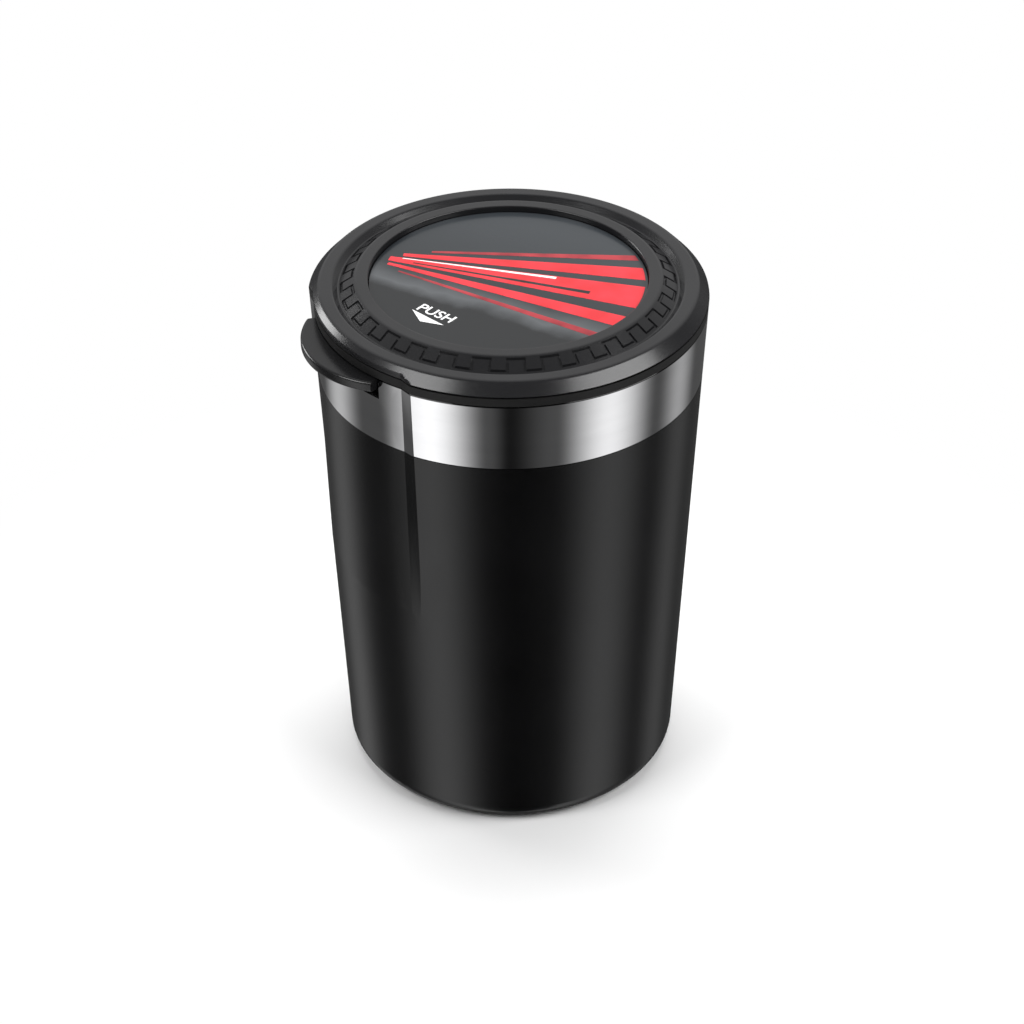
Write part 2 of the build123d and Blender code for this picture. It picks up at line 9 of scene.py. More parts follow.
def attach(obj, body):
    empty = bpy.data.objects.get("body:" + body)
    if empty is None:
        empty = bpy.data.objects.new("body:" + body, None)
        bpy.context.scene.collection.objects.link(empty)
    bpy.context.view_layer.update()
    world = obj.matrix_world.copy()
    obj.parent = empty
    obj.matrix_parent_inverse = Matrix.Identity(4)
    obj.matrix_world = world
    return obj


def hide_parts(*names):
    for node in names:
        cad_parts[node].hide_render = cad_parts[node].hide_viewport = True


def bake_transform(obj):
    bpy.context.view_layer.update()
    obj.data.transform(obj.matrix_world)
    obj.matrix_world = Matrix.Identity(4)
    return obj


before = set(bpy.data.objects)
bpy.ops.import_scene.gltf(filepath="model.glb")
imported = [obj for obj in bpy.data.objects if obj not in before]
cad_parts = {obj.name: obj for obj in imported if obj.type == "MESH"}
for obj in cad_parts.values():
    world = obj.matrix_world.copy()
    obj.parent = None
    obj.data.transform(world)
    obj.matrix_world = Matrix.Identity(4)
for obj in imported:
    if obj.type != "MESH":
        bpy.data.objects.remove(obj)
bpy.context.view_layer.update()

MILLIMETRE = 0.001

# Distance in metres at which points of a mesh are one, and the angle past which an edge stays sharp
MERGE_DISTANCE = 0.0000005
SHARP_ANGLE = math.radians(30.0)

# Heights in metres, as in the solid model
PRINT_TOP = 0.1113
BAND_TOP = 0.10705

# Taper of the cup, which the edge of the lid carries on, in millimetres
TAPER_BASE = 34.8
RIM_RADIUS = 40.0
RIM_HEIGHT = 109.1

# Finger recess: turn of its middle, half its width and the ramp at each side, in degrees, then the height
# of its foot and its depth at the rim, in millimetres
FRONT_TURN = 270.0
RECESS_HALF = 32.7
RECESS_RAMP = 4.1
RECESS_FOOT = 52.7
RECESS_DEPTH = 1.14

# Lid in millimetres: radii from the bevel inwards, then heights
BEVEL_RADIUS = 37.75
CHANNEL_RADIUS = 35.2
TREAD_RADIUS = 33.9
RING_RADIUS = 30.4
POCKET_RADIUS = 27.9
FLAT_RIM = 111.45
CHANNEL_FLOOR = 110.3
RING_TOP = 112.6
POCKET_FLOOR = 109.8

# Square-wave groove: degrees between its strokes, then the radii of its dashes, half its width, the width
# of its walls and its depth, in millimetres
STROKE_STEP = 6.0
OUTER_DASH = 33.2
INNER_DASH = 31.1
GROOVE_HALF = 0.25
GROOVE_WALL = 0.1
GROOVE_DEPTH = 0.4

# Hinge in millimetres: place of the pin, hollow in the lid round it and slot over the spring
PIN_Y = 37.4
PIN_Z = 108.7
HOLLOW_RADIUS = 1.5
HOLLOW_HALF = 10.6
SLOT_HALF = 4.2
SLOT_FRONT = 34.9
SLOT_BACK = 37.6
SLOT_TOP = 110.2
HINGE_INSIDE = 34.3
HINGE_OUTSIDE = 39.2
THINNEST_SKIN = 0.05

# Fall of the printed line of light to the right of the view, in degrees, the radius at which the trails
# stop, in millimetres, and the thickness of the white ink, in metres
PRINT_FALL = 29.0
PRINT_EDGE = 27.2
INK_THICKNESS = 0.00006

# Direction from which the ashtray is seen, in degrees round from the push tab and above the floor
VIEW_TURN = 60.6
VIEW_LIFT = 34.85


def plan_point(right, away):
    """Plan place of a point given to the right of and away from the viewer, as X and Y."""
    turn = math.radians(VIEW_TURN)
    return (
        right * math.cos(turn) - away * math.sin(turn),
        right * math.sin(turn) + away * math.cos(turn),
    )


def close_seams(mesh):
    """Merge points that fall together, as at a pole, and turn all faces outwards."""
    work = bmesh.new()
    work.from_mesh(mesh)
    bmesh.ops.remove_doubles(work, verts=work.verts[:], dist=MERGE_DISTANCE)
    bmesh.ops.recalc_face_normals(work, faces=work.faces[:])
    work.to_mesh(mesh)
    work.free()


def lay_mesh(name, points, quads, finish, body):
    """Piece from an array of points and an array of quads, smooth shaded, riding on a body if one is
    named."""
    mesh = bpy.data.meshes.new(name)
    mesh.vertices.add(len(points))
    mesh.vertices.foreach_set("co", points.astype(np.float32).ravel())
    mesh.loops.add(quads.size)
    mesh.loops.foreach_set("vertex_index", quads.astype(np.int32).ravel())
    mesh.polygons.add(len(quads))
    mesh.polygons.foreach_set("loop_start", np.arange(0, quads.size, 4, dtype=np.int32))
    mesh.update(calc_edges=True)
    close_seams(mesh)
    mesh.shade_smooth()
    mesh.set_sharp_from_angle(angle=SHARP_ANGLE)
    mesh.materials.append(finish)
    piece = bpy.data.objects.new(name, mesh)
    bpy.context.scene.collection.objects.link(piece)
    if body is not None:
        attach(piece, body)
    return piece


def grid_quads(rows, columns, round_rows, round_columns):
    """Corner numbers of the quads of a grid, joined end to end along rows or columns where asked."""
    index = np.arange(rows * columns).reshape(rows, columns)
    if round_rows:
        index = np.vstack([index, index[:1]])
    if round_columns:
        index = np.hstack([index, index[:, :1]])
    corners = [index[:-1, :-1], index[1:, :-1], index[1:, 1:], index[:-1, 1:]]
    return np.stack(corners, axis=-1).reshape(-1, 4)


# Finishes

# Usual range of a noise value
NOISE_LOW = 0.3
NOISE_HIGH = 0.7


def new_finish(name):
    """Empty node material with its shader and its object coordinates."""
    finish = bpy.data.materials.new(name)
    finish.use_nodes = True
    nodes = finish.node_tree.nodes
    shader = nodes["Principled BSDF"]
    place = nodes.new("ShaderNodeTexCoord").outputs["Object"]
    return finish, shader, place


def join(finish, source, target):
    """Link one socket to another."""
    finish.node_tree.links.new(source, target)


def noise_field(finish, place, scale, stretch=(1, 1, 1), detail=3.0):
    """Noise over the object coordinates, drawn out along an axis by a small stretch value."""
    nodes = finish.node_tree.nodes
    mapping = nodes.new("ShaderNodeMapping")
    mapping.inputs["Scale"].default_value = stretch
    join(finish, place, mapping.inputs["Vector"])
    noise = nodes.new("ShaderNodeTexNoise")
    noise.inputs["Scale"].default_value = scale
    noise.inputs["Detail"].default_value = detail
    join(finish, mapping.outputs["Vector"], noise.inputs["Vector"])
    return noise.outputs["Fac"]


def ramp(finish, value, stops):
    """Colour ramp over a value, from pairs of position and colour."""
    node = finish.node_tree.nodes.new("ShaderNodeValToRGB")
    elements = node.color_ramp.elements
    while len(elements) < len(stops):
        elements.new(0.5)
    for element, (position, colour) in zip(elements, stops):
        element.position = position
        element.color = (*colour, 1.0)
    join(finish, value, node.inputs["Fac"])
    return node.outputs["Color"]


def spread(finish, value, low, high):
    """Map a noise value from its usual range to the range from low to high."""
    node = finish.node_tree.nodes.new("ShaderNodeMapRange")
    node.inputs["From Min"].default_value = NOISE_LOW
    node.inputs["From Max"].default_value = NOISE_HIGH
    node.inputs["To Min"].default_value = low
    node.inputs["To Max"].default_value = high
    join(finish, value, node.inputs["Value"])
    return node.outputs["Result"]


def raise_bump(finish, shader, value, height):
    """Surface relief from a value, height in metres."""
    node = finish.node_tree.nodes.new("ShaderNodeBump")
    node.inputs["Strength"].default_value = 1.0
    node.inputs["Distance"].default_value = height
    join(finish, value, node.inputs["Height"])
    join(finish, node.outputs["Normal"], shader.inputs["Normal"])


def moulded_plastic(name, dark, light, rough_low, rough_high, grain, gloss):
    """Moulded plastic: two close tones in soft patches, a fine moulded grain and an uneven sheen."""
    finish, shader, place = new_finish(name)
    patches = noise_field(finish, place, 60.0)
    join(finish, ramp(finish, patches, [(NOISE_LOW, dark), (NOISE_HIGH, light)]), shader.inputs["Base Color"])
    fine = noise_field(finish, place, 5200.0, detail=2.0)
    join(finish, spread(finish, fine, rough_low, rough_high), shader.inputs["Roughness"])
    shader.inputs["Specular IOR Level"].default_value = gloss
    raise_bump(finish, shader, fine, grain)
    return finish


def drawn_metal(name, dark, light, rough_low, rough_high, stretch, line):
    """Metal with fine tool lines, drawn out along the axes where stretch is small."""
    finish, shader, place = new_finish(name)
    lines = noise_field(finish, place, 1.0, stretch, detail=4.0)
    join(finish, ramp(finish, lines, [(NOISE_LOW, dark), (NOISE_HIGH, light)]), shader.inputs["Base Color"])
    join(finish, spread(finish, lines, rough_low, rough_high), shader.inputs["Roughness"])
    shader.inputs["Metallic"].default_value = 1.0
    raise_bump(finish, shader, lines, line)
    return finish


def spun_metal(name, dark, light, rough_low, rough_high):
    """Spun sheet metal: fine turned rings, as noise over the distance from the axis plus the height."""
    finish, shader, place = new_finish(name)
    nodes = finish.node_tree.nodes
    flat = nodes.new("ShaderNodeMapping")
    flat.inputs["Scale"].default_value = (1.0, 1.0, 0.0)
    join(finish, place, flat.inputs["Vector"])
    radius = nodes.new("ShaderNodeVectorMath")
    radius.operation = "LENGTH"
    join(finish, flat.outputs["Vector"], radius.inputs[0])
    parts = nodes.new("ShaderNodeSeparateXYZ")
    join(finish, place, parts.inputs["Vector"])
    along = nodes.new("ShaderNodeMath")
    join(finish, radius.outputs["Value"], along.inputs[0])
    join(finish, parts.outputs["Z"], along.inputs[1])
    rings = nodes.new("ShaderNodeTexNoise")
    rings.noise_dimensions = "1D"
    rings.inputs["Scale"].default_value = 2600.0
    rings.inputs["Detail"].default_value = 3.0
    join(finish, along.outputs["Value"], rings.inputs["W"])
    lines = rings.outputs["Fac"]
    join(finish, ramp(finish, lines, [(NOISE_LOW, dark), (NOISE_HIGH, light)]), shader.inputs["Base Color"])
    join(finish, spread(finish, lines, rough_low, rough_high), shader.inputs["Roughness"])
    shader.inputs["Metallic"].default_value = 1.0
    raise_bump(finish, shader, lines, 0.000002)
    return finish


cup_finish = moulded_plastic(
    "cup_satin_black",
    dark=(0.0020, 0.0020, 0.0022),
    light=(0.0034, 0.0034, 0.0037),
    rough_low=0.20,
    rough_high=0.26,
    grain=0.0000002,
    gloss=0.38,
)
lid_finish = moulded_plastic(
    "lid_satin_black",
    dark=(0.009, 0.009, 0.010),
    light=(0.013, 0.013, 0.014),
    rough_low=0.20,
    rough_high=0.26,
    grain=0.0000002,
    gloss=0.5,
)
tab_finish = moulded_plastic(
    "tab_satin_black",
    dark=(0.005, 0.005, 0.0055),
    light=(0.008, 0.008, 0.0085),
    rough_low=0.20,
    rough_high=0.25,
    grain=0.00000008,
    gloss=0.42,
)
collar_finish = moulded_plastic(
    "collar_matte_black",
    dark=(0.006, 0.006, 0.006),
    light=(0.010, 0.010, 0.010),
    rough_low=0.5,
    rough_high=0.6,
    grain=0.000003,
    gloss=0.3,
)
pad_finish = moulded_plastic(
    "pad_rubber",
    dark=(0.018, 0.018, 0.019),
    light=(0.032, 0.032, 0.033),
    rough_low=0.75,
    rough_high=0.9,
    grain=0.00004,
    gloss=0.3,
)
gasket_finish = moulded_plastic(
    "gasket_rubber",
    dark=(0.03, 0.03, 0.03),
    light=(0.045, 0.045, 0.045),
    rough_low=0.6,
    rough_high=0.8,
    grain=0.00001,
    gloss=0.35,
)
liner_finish = spun_metal(
    "liner_spun_metal",
    dark=(0.56, 0.57, 0.59),
    light=(0.68, 0.69, 0.71),
    rough_low=0.24,
    rough_high=0.36,
)
insert_finish = spun_metal(
    "insert_spun_metal",
    dark=(0.42, 0.43, 0.45),
    light=(0.52, 0.53, 0.55),
    rough_low=0.38,
    rough_high=0.50,
)
pin_finish = drawn_metal(
    "pin_plain_steel",
    dark=(0.50, 0.50, 0.52),
    light=(0.64, 0.64, 0.66),
    rough_low=0.25,
    rough_high=0.4,
    stretch=(60, 4000, 4000),
    line=0.000002,
)
spring_finish = drawn_metal(
    "spring_blued_steel",
    dark=(0.36, 0.36, 0.39),
    light=(0.52, 0.52, 0.55),
    rough_low=0.25,
    rough_high=0.4,
    stretch=(1500, 1500, 1500),
    line=0.000002,
)


def band_metal():
    """Polished band: near-even bright steel with a faint haze, and painted shade at its top edge, where the
    colour falls to near black with height over the last third of a millimetre."""
    finish, shader, place = new_finish("band_bright_steel")
    nodes = finish.node_tree.nodes
    haze = noise_field(finish, place, 40.0, (1, 1, 6))
    dull, clear = (0.74, 0.74, 0.75), (0.79, 0.79, 0.80)
    bright = ramp(finish, haze, [(NOISE_LOW, dull), (NOISE_HIGH, clear)])
    parts = nodes.new("ShaderNodeSeparateXYZ")
    join(finish, place, parts.inputs["Vector"])
    # Painted shade: by the top edge the colour is mixed towards near black, standing in for shade under the
    # collar's black strip and hiding the edge's highlight.
    painted_top_shade = nodes.new("ShaderNodeMapRange")
    painted_top_shade.inputs["From Min"].default_value = BAND_TOP - 0.00040
    painted_top_shade.inputs["From Max"].default_value = BAND_TOP - 0.00028
    join(finish, parts.outputs["Z"], painted_top_shade.inputs["Value"])
    colour = nodes.new("ShaderNodeMix")
    colour.data_type = "RGBA"
    colour.inputs["B"].default_value = (0.02, 0.02, 0.02, 1.0)
    join(finish, painted_top_shade.outputs["Result"], colour.inputs["Factor"])
    join(finish, bright, colour.inputs["A"])
    join(finish, colour.outputs["Result"], shader.inputs["Base Color"])
    join(finish, spread(finish, haze, 0.07, 0.10), shader.inputs["Roughness"])
    shader.inputs["Metallic"].default_value = 1.0
    return finish


band_finish = band_metal()


def print_ground_finish():
    """Print under clear gloss: charcoal at the front, a soft smoky line of light across it and slate grey
    behind. The shade follows the distance across that line, stirred by noise."""
    finish, shader, place = new_finish("print_slate_ground")
    nodes = finish.node_tree.nodes
    turned = nodes.new("ShaderNodeMapping")
    turned.inputs["Location"].default_value = (0.0, 0.5, 0.0)
    turned.inputs["Rotation"].default_value = (0.0, 0.0, math.radians(PRINT_FALL - VIEW_TURN))
    turned.inputs["Scale"].default_value = (18.0, 18.0, 18.0)
    join(finish, place, turned.inputs["Vector"])
    parts = nodes.new("ShaderNodeSeparateXYZ")
    join(finish, turned.outputs["Vector"], parts.inputs["Vector"])
    soft = noise_field(finish, place, 90.0)
    shade = nodes.new("ShaderNodeMath")
    shade.operation = "MULTIPLY_ADD"
    shade.inputs[1].default_value = 0.12
    join(finish, soft, shade.inputs[0])
    join(finish, parts.outputs["Y"], shade.inputs[2])
    charcoal, line_light = (0.009, 0.010, 0.011), (0.085, 0.090, 0.096)
    slate, far_slate = (0.018, 0.021, 0.024), (0.033, 0.038, 0.043)
    stops = [(0.05, charcoal), (0.31, charcoal), (0.375, line_light), (0.47, slate), (0.95, far_slate)]
    colour = ramp(finish, shade.outputs["Value"], stops)
    join(finish, colour, shader.inputs["Base Color"])
    shader.inputs["Roughness"].default_value = 0.22
    shader.inputs["Specular IOR Level"].default_value = 0.5
    return finish


def ink_finish(name, dark, light):
    """Printed ink with a soft change of tone along the stroke, under clear gloss."""
    finish, shader, place = new_finish(name)
    tone = noise_field(finish, place, 160.0, detail=2.0)
    join(finish, ramp(finish, tone, [(0.35, dark), (0.65, light)]), shader.inputs["Base Color"])
    shader.inputs["Roughness"].default_value = 0.25
    return finish


print_finish = print_ground_finish()
red_ink = ink_finish("ink_red", (0.60, 0.018, 0.026), (0.80, 0.030, 0.045))
deep_red_ink = ink_finish("ink_deep_red", (0.22, 0.012, 0.02), (0.40, 0.03, 0.04))
coal_ink = ink_finish("ink_coal", (0.008, 0.009, 0.010), (0.020, 0.021, 0.023))
white_ink = ink_finish("ink_white", (0.84, 0.84, 0.84), (0.94, 0.94, 0.94))

finish_of = {
    "outer_cup": cup_finish,
    "base_pad": pad_finish,
    "trim_band": band_finish,
    "collar": collar_finish,
    "ash_liner": liner_finish,
    "snuffer_insert": insert_finish,
    "hinge_pin": pin_finish,
    "latch_pin": pin_finish,
    "lid_spring": spring_finish,
    "latch_spring": spring_finish,
    "lid_shell": lid_finish,
    "lid_catch": collar_finish,
    "print_disc": print_finish,
    "inner_cover": collar_finish,
    "lid_gasket": gasket_finish,
    "cover_screws": pin_finish,
    "push_tab": tab_finish,
}
for node_name, finish in finish_of.items():
    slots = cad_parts[node_name].data.materials
    slots.clear()
    slots.append(finish)


# Cup


def cup_wall():
    """Outer cup with no seam in its sheen: the solid's own surface, where the normals along the join of
    the wall, at Y 0, lose their part along Y and are brought back to unit length."""
    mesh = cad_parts["outer_cup"].data.copy()
    corner = np.zeros(len(mesh.loops), np.int32)
    mesh.loops.foreach_get("vertex_index", corner)
    place = np.zeros(len(mesh.vertices) * 3, np.float32)
    mesh.vertices.foreach_get("co", place)
    place = place.reshape(-1, 3)[corner]
    normal = np.zeros(len(mesh.loops) * 3, np.float32)
    mesh.corner_normals.foreach_get("vector", normal)
    normal = normal.reshape(-1, 3)
    near, lean = 0.000001, 0.1
    on_join = (np.abs(place[:, 1]) < near) & (place[:, 0] > 0.0) & (np.abs(normal[:, 1]) < lean)
    normal[on_join, 1] = 0.0
    normal /= np.linalg.norm(normal, axis=1, keepdims=True)
    mesh.normals_split_custom_set(normal)
    piece = bpy.data.objects.new("cup_wall", mesh)
    bpy.context.scene.collection.objects.link(piece)
    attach(piece, "cup")
    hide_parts("outer_cup")


cup_wall()


# Lid


def rounded_profile(corners, spacing):
    """Outline of radius and height points with each corner turned into a small arc: the corner is cut
    back along both sides by its own amount and a quadratic curve joins the cuts, with one more point
    beyond each cut that keeps the flats flat. Long sides get points at most one spacing apart."""
    places = np.array([corner[:2] for corner in corners], float)
    cuts = np.array([corner[2] for corner in corners], float)
    share = np.linspace(0.0, 1.0, 6)[:, None]
    guard = 0.08
    runs = []
    for number in range(len(places)):
        here = places[number]
        if cuts[number] == 0.0:
            runs.append(here[None])
        else:
            before, after = places[number - 1] - here, places[(number + 1) % len(places)] - here
            before, after = before / np.linalg.norm(before), after / np.linalg.norm(after)
            first, last = here + before * cuts[number], here + after * cuts[number]
            curve = (1 - share) ** 2 * first + 2 * share * (1 - share) * here + share**2 * last
            runs.append(np.vstack([first + before * guard, curve, last + after * guard]))
    line = np.vstack(runs)
    ends = np.vstack([line[1:], line[:1]])
    steps = np.maximum(np.ceil(np.linalg.norm(ends - line, axis=1) / spacing).astype(int), 1)
    owner = np.repeat(np.arange(len(line)), steps)
    part = (np.arange(steps.sum()) - np.repeat(np.cumsum(steps) - steps, steps)) / steps[owner]
    return line[owner] + (ends - line)[owner] * part[:, None]


def soft_step(value):
    """Smooth rise from 0 to 1 as a value goes from 0 to 1."""
    value = np.clip(value, 0.0, 1.0)
    return value * value * (3 - 2 * value)


def recess_limit(turn, height):
    """Radius that the finger recess leaves at an angle from the front, in degrees, and a height, in
    millimetres: the taper less a depth that grows with height, with a ramp at both sides. Away from
    the recess the limit stands clear of the lid."""
    taper = TAPER_BASE + (RIM_RADIUS - TAPER_BASE) * height / RIM_HEIGHT
    depth = RECESS_DEPTH * (height - RECESS_FOOT) / (RIM_HEIGHT - RECESS_FOOT)
    share = np.clip((RECESS_HALF - np.abs(turn)) / RECESS_RAMP, 0.0, 1.0)
    free = 1.0
    return taper - depth * share + np.where(share > 0.0, 0.0, free)


def groove_share(radius, turn):
    """Depth of the square-wave groove from 0 to 1: near a radial stroke at every step of the turn, or near
    the outer or inner dash that joins every second pair of strokes."""
    cell = np.floor(turn / STROKE_STEP)
    inside = turn - STROKE_STEP * cell
    from_stroke = np.radians(np.minimum(inside, STROKE_STEP - inside)) * radius
    stroke_end = np.maximum(radius - OUTER_DASH, INNER_DASH - radius)
    stroke = np.maximum(from_stroke, stroke_end) - GROOVE_HALF
    dash_radius = np.where(np.mod(cell, 2) == 0, OUTER_DASH, INNER_DASH)
    dash = np.abs(radius - dash_radius) - GROOVE_HALF
    return soft_step(0.5 - np.minimum(stroke, dash) / GROOVE_WALL)


def hinge_room(x, y):
    """Height of the lid's underside: flat, but hollowed round the hinge pin and over the spring."""
    reach = np.clip(HOLLOW_RADIUS**2 - (y - PIN_Y) ** 2, 0.0, None)
    round_hollow = np.where(np.abs(x) < HOLLOW_HALF, PIN_Z + np.sqrt(reach), RIM_HEIGHT)
    slot = (np.abs(x) < SLOT_HALF) & (y > SLOT_FRONT) & (y < SLOT_BACK)
    return np.maximum(RIM_HEIGHT, np.where(slot, SLOT_TOP, round_hollow))


def rim_top(radius):
    """Height of the lid's upper side near its edge: the flat rim, then the bevel down to the edge."""
    share = np.clip((radius - BEVEL_RADIUS) / (RIM_RADIUS - BEVEL_RADIUS), 0.0, 1.0)
    return FLAT_RIM - (FLAT_RIM - RIM_HEIGHT) * share


def lid_profile():
    """Outline of the lid as radius and height points: along the underside to the edge, up the bevel, over
    the rim, channel, tread and ring, and into the pocket of the print. The tread has points along both
    sides of each dash of the groove. Near the axis only a few points are kept."""
    dash_sides = np.array([0.3, 0.2, 0.0, -0.2, -0.3])
    tread_lines = [*(OUTER_DASH + dash_sides), (OUTER_DASH + INNER_DASH) / 2, *(INNER_DASH + dash_sides)]
    tread_slope = (RING_TOP - CHANNEL_FLOOR) / (TREAD_RADIUS - RING_RADIUS)
    low_side = [
        (0.0, RIM_HEIGHT, 0.0),
        (HINGE_INSIDE, RIM_HEIGHT, 0.0),
        (HINGE_OUTSIDE, RIM_HEIGHT, 0.0),
        (RIM_RADIUS, RIM_HEIGHT, 0.2),
    ]
    high_side = [
        (BEVEL_RADIUS, FLAT_RIM, 0.45),
        (CHANNEL_RADIUS, FLAT_RIM, 0.3),
        (TREAD_RADIUS, CHANNEL_FLOOR, 0.25),
        *[(line, CHANNEL_FLOOR + (TREAD_RADIUS - line) * tread_slope, 0.0) for line in tread_lines],
        (RING_RADIUS, RING_TOP, 0.3),
        (POCKET_RADIUS, RING_TOP, 0.3),
        (POCKET_RADIUS, POCKET_FLOOR, 0.1),
        (0.0, POCKET_FLOOR, 0.0),
    ]
    spacing, fine_radius, coarse_step = 0.35, 26.0, 12
    profile = rounded_profile(low_side + high_side, spacing)
    keep = np.ones(len(profile), bool)
    keep[1:] = (profile[1:, 0] > fine_radius) | (np.arange(1, len(profile)) % coarse_step == 0)
    keep[-1] = False
    return np.vstack([profile[keep], [[0.0, POCKET_FLOOR]]])


def lid_turns():
    """Turns of the lid's profile in degrees: seven for each stroke of the groove, four of them at its
    walls, and one at each edge of the ramps of the finger recess."""
    stroke_lines = np.array([-1.7, -0.535, -0.356, 0.356, 0.535, 1.7, 3.0])
    strokes = np.arange(0.0, 360.0, STROKE_STEP)[:, None] + stroke_lines
    ramp_edges = np.array([RECESS_HALF, RECESS_HALF - RECESS_RAMP])
    ramps = np.concatenate([FRONT_TURN - ramp_edges, FRONT_TURN + ramp_edges])
    return np.unique(np.concatenate([strokes.ravel() % 360.0, ramps]))


def lid_top():
    """Lid shell: a rounded profile turned about the axis, with the groove pressed into the tread, the
    front edge held back to the finger recess and the underside hollowed at the hinge."""
    profile, turn = lid_profile(), lid_turns()
    angle = np.radians(turn)[:, None]
    radius = np.repeat(profile[None, :, 0], len(turn), axis=0)
    height = np.repeat(profile[None, :, 1], len(turn), axis=0)
    margin = 0.1
    on_tread = (radius > RING_RADIUS + margin) & (radius < TREAD_RADIUS - margin)
    on_tread &= height > CHANNEL_FLOOR - margin
    share = groove_share(radius, turn[:, None] + np.zeros_like(radius))
    height = height - np.where(on_tread, GROOVE_DEPTH * share, 0.0)
    front = (turn[:, None] - FRONT_TURN + 180.0) % 360.0 - 180.0
    radius = np.minimum(radius, recess_limit(front, height))
    x, y = radius * np.cos(angle), radius * np.sin(angle)
    under = (np.abs(height - RIM_HEIGHT) < 0.001) & (radius < HINGE_OUTSIDE + margin)
    room = np.maximum(np.minimum(hinge_room(x, y), rim_top(radius) - THINNEST_SKIN), RIM_HEIGHT)
    points = np.stack([x, y, np.where(under, room, height)], axis=-1).reshape(-1, 3)
    quads = grid_quads(len(turn), len(profile), True, False)
    piece = lay_mesh("lid_top", points * MILLIMETRE, quads, lid_finish, "lid")
    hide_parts("lid_shell")


def hinge_knuckle(name, x_low, x_high):
    """Barrel on the hinge pin, square at the top where it meets the lid: an outline round the pin and
    the pin's own bore, carried along the pin."""
    barrel, corner, bore, count = 1.3, 1.75, 0.8, 64
    turn = np.linspace(0.0, 2 * math.pi, count, endpoint=False)
    square = barrel / np.maximum(np.abs(np.cos(turn)), np.abs(np.sin(turn)))
    outer = np.where(np.sin(turn) > 0.0, np.minimum(square, corner), barrel)
    inner = np.full(count, bore)
    reach = np.stack([outer, outer, inner, inner], axis=1)
    x = np.broadcast_to(np.array([x_low, x_high, x_high, x_low]), reach.shape)
    y = PIN_Y + reach * np.cos(turn)[:, None]
    z = PIN_Z + reach * np.sin(turn)[:, None]
    points = np.stack([x, y, z], axis=-1).reshape(-1, 3) * MILLIMETRE
    lay_mesh(name, points, grid_quads(count, 4, True, True), lid_finish, "lid")


lid_top()
KNUCKLE_END = 7.0
hinge_knuckle("lid_knuckle_left", -KNUCKLE_END, -SLOT_HALF)
hinge_knuckle("lid_knuckle_right", SLOT_HALF, KNUCKLE_END)


# Springs


def swept_wire(name, line, section, finish):
    """Wire from a section carried along a line of points: at each point the section lies across the run of
    the line, one of its axes as near to X as it can be. Both ends are closed by a point."""
    run = np.gradient(line, axis=0)
    run /= np.linalg.norm(run, axis=1, keepdims=True)
    first = np.array([1.0, 0.0, 0.0]) - run * run[:, :1]
    first /= np.linalg.norm(first, axis=1, keepdims=True)
    second = np.cross(run, first)
    rings = line[:, None] + first[:, None] * section[:, :1] + second[:, None] * section[:, 1:]
    caps = [np.broadcast_to(line[end], rings[0].shape)[None] for end in (0, -1)]
    rings = np.concatenate([caps[0], rings, caps[1]])
    quads = grid_quads(len(rings), len(section), False, True)
    return lay_mesh(name, rings.reshape(-1, 3) * MILLIMETRE, quads, finish, None)


def lid_coil():
    """Torsion spring of the lid: a helix round the hinge pin, from the leg on the collar to the leg under the
    lid, both straight on along the ends of the helix."""
    first_turn, sweep, half_length = math.radians(-54.1), math.radians(4 * 360 + 168.5), 3.4
    share = np.linspace(0.0, 1.0, 181)
    turn = first_turn + sweep * share
    x = half_length * (2 * share - 1)
    coil_radius, wire_radius, collar_reach, lid_reach = 1.0, 0.18, 2.4, 1.9
    helix = np.stack([x, PIN_Y + coil_radius * np.cos(turn), PIN_Z + coil_radius * np.sin(turn)], axis=1)
    ends = turn[[0, -1]]
    rise = np.full(2, 2 * half_length / sweep)
    away = np.stack([rise, -coil_radius * np.sin(ends), coil_radius * np.cos(ends)], axis=1)
    away /= np.linalg.norm(away, axis=1, keepdims=True)
    collar_leg = helix[0] - away[0] * np.linspace(collar_reach, 0.1, 14)[:, None]
    lid_leg = helix[-1] + away[1] * np.linspace(0.1, lid_reach, 12)[:, None]
    line = np.vstack([collar_leg, helix, lid_leg])
    angle = np.linspace(0.0, 2 * math.pi, 12, endpoint=False)
    section = wire_radius * np.stack([np.cos(angle), np.sin(angle)], axis=1)
    piece = swept_wire("lid_coil", line, section, spring_finish)
    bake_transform(piece)
    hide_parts("lid_spring")


def latch_leaf():
    """Leaf spring of the tab: a flat strip section, a circle drawn out towards a rectangle, carried along its
    foot, round a tight quadratic bend and up to its tip."""
    foot, bend, tip = np.array([-37.9, 102.525]), np.array([-37.0, 102.525]), np.array([-38.6, 104.35])
    share = np.linspace(0.0, 1.0, 15)[:, None]
    before = bend + (foot - bend) * 0.3
    after = bend + (tip - bend) * 0.12
    curve = (1 - share) ** 2 * before + 2 * share * (1 - share) * bend + share**2 * after
    path = np.vstack([foot, curve, after + (tip - after) * np.linspace(0.1, 1.0, 14)[:, None]])
    line = np.column_stack([np.zeros(len(path)), path])
    angle = np.linspace(0.0, 2 * math.pi, 24, endpoint=False)
    flat = np.sign(np.cos(angle)) * np.abs(np.cos(angle)) ** 0.2
    thick = np.sign(np.sin(angle)) * np.abs(np.sin(angle)) ** 0.4
    half_width, half_thickness = 2.2, 0.12
    section = np.stack([half_width * flat, half_thickness * thick], axis=1)
    piece = swept_wire("latch_leaf", line, section, spring_finish)
    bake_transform(piece)
    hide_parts("latch_spring")


lid_coil()
latch_leaf()


# Print on the disc


